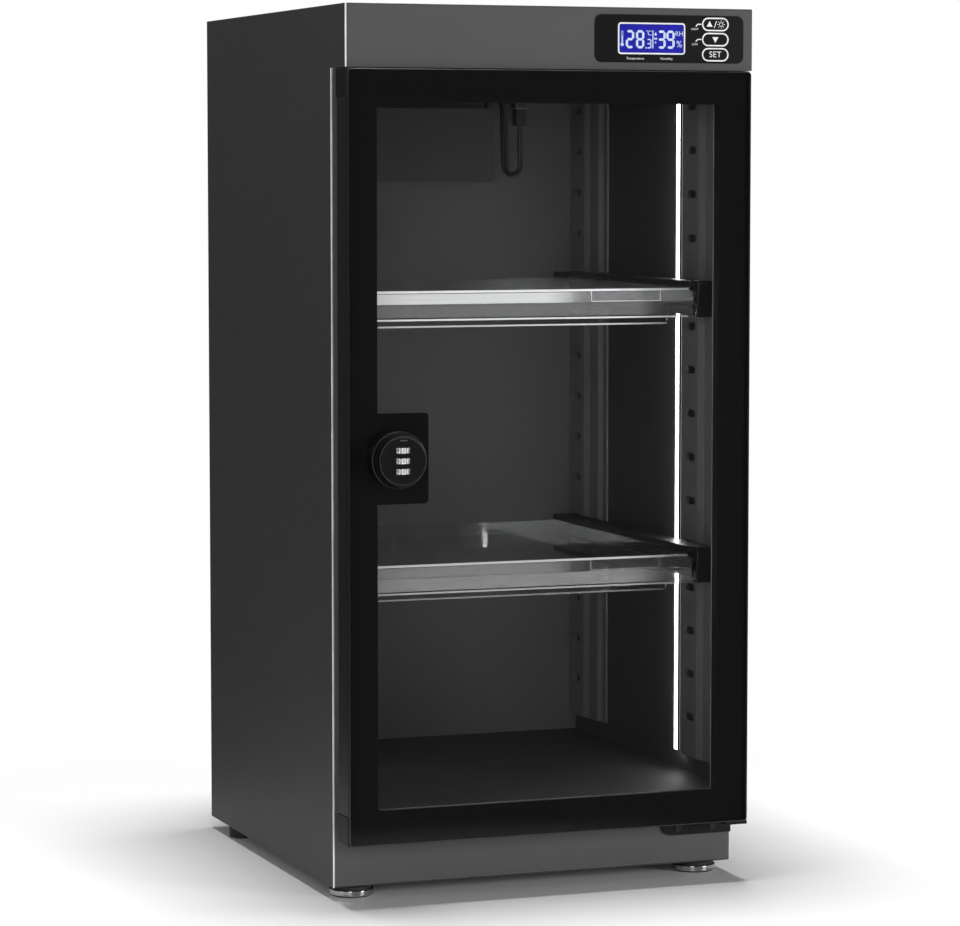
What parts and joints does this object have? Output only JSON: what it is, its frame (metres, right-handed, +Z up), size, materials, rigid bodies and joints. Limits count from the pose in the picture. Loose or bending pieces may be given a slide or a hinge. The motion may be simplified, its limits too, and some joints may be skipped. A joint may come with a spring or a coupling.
{
  "type": "camera dry cabinet",
  "caption": "Upright humidity-controlled cabinet with a framed glass door, number lock knob, clear sliding trays on slotted rails, light bar and header display.",
  "frame": {"origin": "Middle of the overall footprint, on the plane the feet stand on", "axes": "+Z up, -Y is the door side, +X is the hinge side, metres at real size"},
  "size_m": [0.315, 0.381, 0.6475],
  "materials": {
    "side_paint": "fine satin powder coat",
    "front_paint": "fine satin powder coat",
    "under_paint": "matte powder coat",
    "lining_paint": "satin powder coat",
    "rail_paint": "satin powder coat over steel",
    "runner_plastic": "fine texture",
    "light_metal": "anodised",
    "light_cover": "opal",
    "bezel_plastic": "gloss with printed signs",
    "screen_blue": "lit display",
    "board_resin": "solder mask",
    "unit_plastic": "fine texture",
    "cable_sheath": "smooth",
    "plug_plastic": "moulded",
    "bracket_paint": "semi-gloss",
    "small_steel": "zinc plated",
    "foot_rubber": "matte",
    "foot_chrome": "polished",
    "door_glass": "clear float glass",
    "border_print": "black print behind the glass",
    "frame_metal": "black anodised",
    "cap_plastic": "fine texture",
    "seal_rubber": "smooth",
    "magnet": "magnet-filled strip",
    "bush_plastic": "acetal",
    "knob_plastic": "satin",
    "wheel_plastic": "black with white numbers",
    "tray_clear": "clear moulded"
  },
  "bodies": {
    "casing": {"left_side_panel": "side_paint", "right_side_panel": "side_paint", "top_panel": "side_paint", "bottom_panel": "under_paint", "back_panel": "side_paint", "base_front_panel": "front_paint", "header_panel": "front_paint", "left_front_jamb": "lining_paint", "right_front_jamb": "lining_paint", "top_front_jamb": "lining_paint", "inner_floor": "lining_paint", "inner_ceiling": "lining_paint", "inner_back": "lining_paint", "left_rails": "rail_paint", "right_rails": "rail_paint", "tray_runners": "runner_plastic", "light_channel": "light_metal", "light_diffuser": "light_cover", "display_bezel": "bezel_plastic", "display_screen": "screen_blue", "control_board": "board_resin", "humidity_unit": "unit_plastic", "sensor_cable": "cable_sheath", "cable_plug": "plug_plastic", "ceiling_socket": "unit_plastic", "rear_cover": "under_paint", "power_inlet": "plug_plastic", "lower_hinge_bracket": "bracket_paint", "upper_hinge_bracket": "bracket_paint", "bracket_screws": "small_steel", "foot_nuts": "small_steel", "rear_feet": "foot_rubber"},
    "door": {"door_glass": "door_glass", "glass_border": "border_print", "door_stiles": "frame_metal", "door_rails": "frame_metal", "corner_caps": "cap_plastic", "door_gasket": "seal_rubber", "magnet_strips": "magnet", "hinge_bushes": "bush_plastic", "lock_case": "cap_plastic"},
    "lock_knob": {"knob_body": "knob_plastic", "knob_face": "knob_plastic", "lock_shaft": "small_steel", "lock_cam": "small_steel", "cam_screw": "small_steel", "wheel_axle": "small_steel"},
    "top_wheel": {"top_number_wheel": "wheel_plastic"},
    "middle_wheel": {"middle_number_wheel": "wheel_plastic"},
    "bottom_wheel": {"bottom_number_wheel": "wheel_plastic"},
    "up_key": {"up_button": "bezel_plastic"},
    "down_key": {"down_button": "bezel_plastic"},
    "set_key": {"set_button": "bezel_plastic"},
    "high_tray": {"upper_tray": "tray_clear"},
    "low_tray": {"lower_tray": "tray_clear"},
    "left_leveller": {"left_foot": "foot_rubber", "left_foot_ring": "foot_chrome"},
    "right_leveller": {"right_foot": "foot_rubber", "right_foot_ring": "foot_chrome"}
  },
  "joints": [
    {"name": "door_swing", "type": "hinge", "parent": "casing", "child": "door", "pos_m": [0.1495, -0.1565, 0.046], "axis": [0, 0, 1], "range_deg": [0, 115]},
    {"name": "lock_turn", "type": "hinge", "parent": "door", "child": "lock_knob", "pos_m": [-0.1231, -0.1765, 0.32435], "axis": [0, -1, 0], "range_deg": [0, 90]},
    {"name": "top_wheel_turn", "type": "hinge", "parent": "lock_knob", "child": "top_wheel", "pos_m": [-0.1231, -0.1838, 0.33185], "axis": [0, 0, 1], "continuous": true},
    {"name": "middle_wheel_turn", "type": "hinge", "parent": "lock_knob", "child": "middle_wheel", "pos_m": [-0.1231, -0.1838, 0.32435], "axis": [0, 0, 1], "continuous": true},
    {"name": "bottom_wheel_turn", "type": "hinge", "parent": "lock_knob", "child": "bottom_wheel", "pos_m": [-0.1231, -0.1838, 0.31685], "axis": [0, 0, 1], "continuous": true},
    {"name": "up_press", "type": "slide", "parent": "casing", "child": "up_key", "axis": [0, 1, 0], "range_m": [0, 0.001], "stiffness_N_per_m": 400},
    {"name": "down_press", "type": "slide", "parent": "casing", "child": "down_key", "axis": [0, 1, 0], "range_m": [0, 0.001], "stiffness_N_per_m": 400},
    {"name": "set_press", "type": "slide", "parent": "casing", "child": "set_key", "axis": [0, 1, 0], "range_m": [0, 0.001], "stiffness_N_per_m": 400},
    {"name": "high_tray_pull", "type": "slide", "parent": "casing", "child": "high_tray", "axis": [0, -1, 0], "range_m": [0, 0.04]},
    {"name": "low_tray_pull", "type": "slide", "parent": "casing", "child": "low_tray", "axis": [0, -1, 0], "range_m": [0, 0.04]},
    {"name": "left_foot_turn", "type": "hinge", "parent": "casing", "child": "left_leveller", "pos_m": [-0.137, -0.1115, 0], "axis": [0, 0, 1], "continuous": true},
    {"name": "right_foot_turn", "type": "hinge", "parent": "casing", "child": "right_leveller", "pos_m": [0.137, -0.1115, 0], "axis": [0, 0, 1], "continuous": true}
  ]
}
